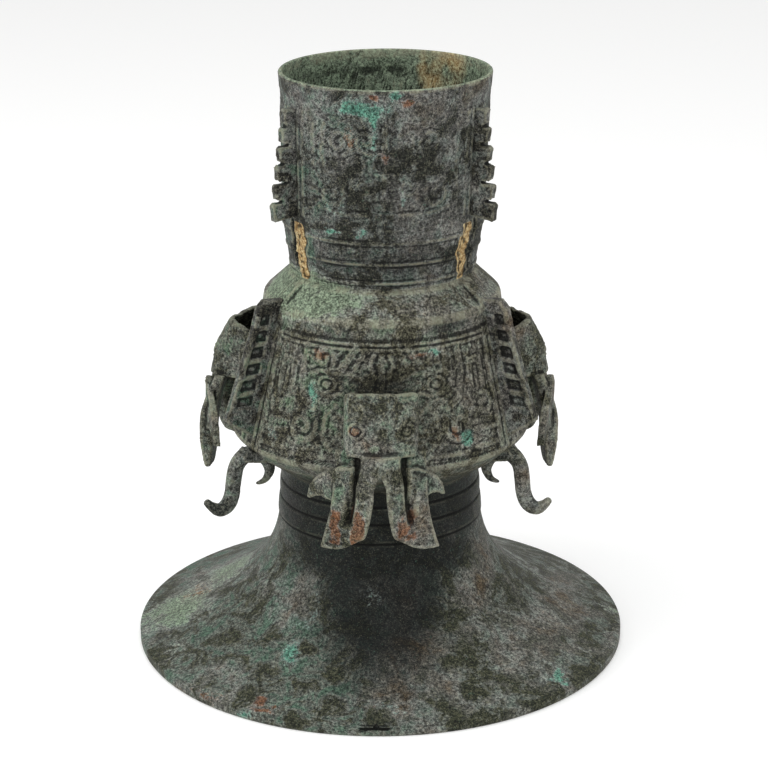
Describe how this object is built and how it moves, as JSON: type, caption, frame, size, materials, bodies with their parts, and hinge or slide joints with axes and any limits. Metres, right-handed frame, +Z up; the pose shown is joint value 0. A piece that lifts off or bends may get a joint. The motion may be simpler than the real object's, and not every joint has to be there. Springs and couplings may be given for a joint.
{
  "type": "bronze censer",
  "caption": "Archaic cast bronze censer: open decorated tube as cup, belly with animal masks and curled trunks, ringed neck and wide trumpet foot, with green and brown patina.",
  "frame": {"origin": "middle of the trumpet foot's underside, on the surface it stands on", "axes": "+Z up along the vessel; -Y is the front, where the front mask is; +X is to the right of a viewer at the front"},
  "size_m": [0.3572, 0.3572, 0.42],
  "materials": {
    "body_bronze": "dark corroded bronze patina with malachite, earth and cuprite patches",
    "mask_bronze": "green-grey corroded bronze patina with red cuprite spots",
    "trunk_bronze": "dark grey-green corroded bronze patina"
  },
  "bodies": {
    "root": {"cup": "body_bronze", "belly": "body_bronze", "neck": "body_bronze", "foot": "body_bronze", "mask_front": "mask_bronze", "mask_right": "mask_bronze", "mask_left": "mask_bronze", "trunk_right": "trunk_bronze", "trunk_back": "trunk_bronze", "trunk_left": "trunk_bronze"}
  },
  "joints": []
}
